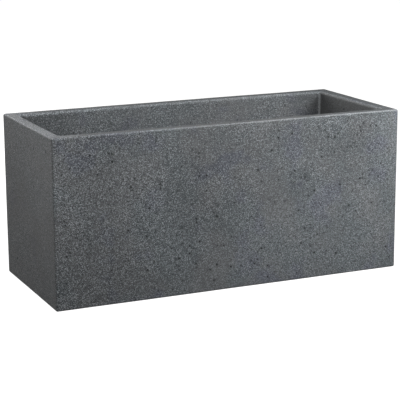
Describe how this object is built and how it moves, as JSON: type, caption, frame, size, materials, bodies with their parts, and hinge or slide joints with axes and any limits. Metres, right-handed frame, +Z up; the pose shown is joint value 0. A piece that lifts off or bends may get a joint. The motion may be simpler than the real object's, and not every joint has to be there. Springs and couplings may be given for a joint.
{
  "type": "self-watering planter",
  "caption": "Long rectangular self-watering planter: a double-walled stone-look trough with a water reservoir, perforated decks, wick baskets and a gauge shaft.",
  "frame": {"origin": "middle of the base, on the surface that the planter stands on", "axes": "+X along the length, -Y towards the front, +Z up"},
  "size_m": [0.79, 0.33, 0.354],
  "materials": {
    "stone_look_plastic": "matte, fine-grained, with small pits, like sandblasted dark concrete",
    "deck_plastic": "matte recycled black plastic with fine moulded texture",
    "shaft_plastic": "satin dark grey moulded plastic",
    "rubber": "matte black rubber",
    "float_foam": "off-white moulded plastic",
    "indicator_plastic": "glossy red plastic",
    "clear_plastic": "clear plastic",
    "steel_pin": "plain stainless pin"
  },
  "bodies": {
    "trough": {"planter_body": "stone_look_plastic", "overflow_spout": "shaft_plastic", "overflow_seal": "rubber", "overflow_nut": "shaft_plastic", "vent_plug_left": "deck_plastic", "vent_plug_right": "deck_plastic"},
    "deck_left": {"separator_left": "deck_plastic", "leg_left_1": "deck_plastic", "leg_left_2": "deck_plastic", "leg_left_3": "deck_plastic", "leg_left_4": "deck_plastic", "leg_left_5": "deck_plastic", "leg_left_6": "deck_plastic"},
    "deck_right": {"separator_right": "deck_plastic", "leg_right_1": "deck_plastic", "leg_right_2": "deck_plastic", "leg_right_3": "deck_plastic", "leg_right_4": "deck_plastic", "leg_right_5": "deck_plastic", "leg_right_6": "deck_plastic"},
    "wick_left_inner": {"basket_left_inner": "deck_plastic"},
    "wick_left_outer": {"basket_left_outer": "deck_plastic"},
    "wick_right_inner": {"basket_right_inner": "deck_plastic"},
    "wick_right_outer": {"basket_right_outer": "deck_plastic"},
    "cover": {"blanking_cover": "deck_plastic"},
    "shaft": {"shaft_tube": "shaft_plastic", "shaft_foot": "shaft_plastic", "shaft_head": "shaft_plastic", "lid_pin": "steel_pin", "gauge_window": "clear_plastic"},
    "lid": {"fill_lid": "shaft_plastic"},
    "gauge": {"gauge_float": "float_foam", "gauge_rod": "float_foam", "gauge_disc": "indicator_plastic"},
    "bung": {"overflow_bung": "rubber"},
    "drain_seal": {"drain_gasket": "rubber"},
    "drain_screw": {"drain_plug": "shaft_plastic"}
  },
  "joints": [
    {"name": "deck_left_lift", "type": "slide", "parent": "trough", "child": "deck_left", "axis": [0, 0, 1], "range_m": [0, 0.36]},
    {"name": "deck_right_lift", "type": "slide", "parent": "trough", "child": "deck_right", "axis": [0, 0, 1], "range_m": [0, 0.36]},
    {"name": "wick_left_inner_lift", "type": "slide", "parent": "deck_left", "child": "wick_left_inner", "axis": [0, 0, 1], "range_m": [0, 0.1]},
    {"name": "wick_left_outer_lift", "type": "slide", "parent": "deck_left", "child": "wick_left_outer", "axis": [0, 0, 1], "range_m": [0, 0.1]},
    {"name": "wick_right_inner_lift", "type": "slide", "parent": "deck_right", "child": "wick_right_inner", "axis": [0, 0, 1], "range_m": [0, 0.1]},
    {"name": "wick_right_outer_lift", "type": "slide", "parent": "deck_right", "child": "wick_right_outer", "axis": [0, 0, 1], "range_m": [0, 0.1]},
    {"name": "cover_lift", "type": "slide", "parent": "deck_left", "child": "cover", "axis": [0, 0, 1], "range_m": [0, 0.03]},
    {"name": "shaft_lift", "type": "slide", "parent": "deck_right", "child": "shaft", "axis": [0, 0, 1], "range_m": [0, 0.12]},
    {"name": "fill_lid_hinge", "type": "hinge", "parent": "shaft", "child": "lid", "pos_m": [0.281, -0.103, 0.3221], "axis": [0, -1, 0], "range_deg": [0, 110]},
    {"name": "gauge_rise", "type": "slide", "parent": "shaft", "child": "gauge", "axis": [0, 0, 1], "range_m": [0, 0.042]},
    {"name": "bung_pull", "type": "slide", "parent": "trough", "child": "bung", "axis": [0, 1, 0], "range_m": [0, 0.03]},
    {"name": "drain_seal_rise", "type": "slide", "parent": "trough", "child": "drain_seal", "axis": [0, 0, 1], "range_m": [0, 0.0101]},
    {"name": "drain_screw_turn", "type": "hinge", "parent": "drain_seal", "child": "drain_screw", "pos_m": [0, 0, 0.024], "axis": [0, 0, 1], "range_deg": [0, 900]}
  ],
  "couplings": [
    {"joint": "drain_seal_rise", "follows": "drain_screw_turn", "m_per_rad": 0.00063662}
  ]
}
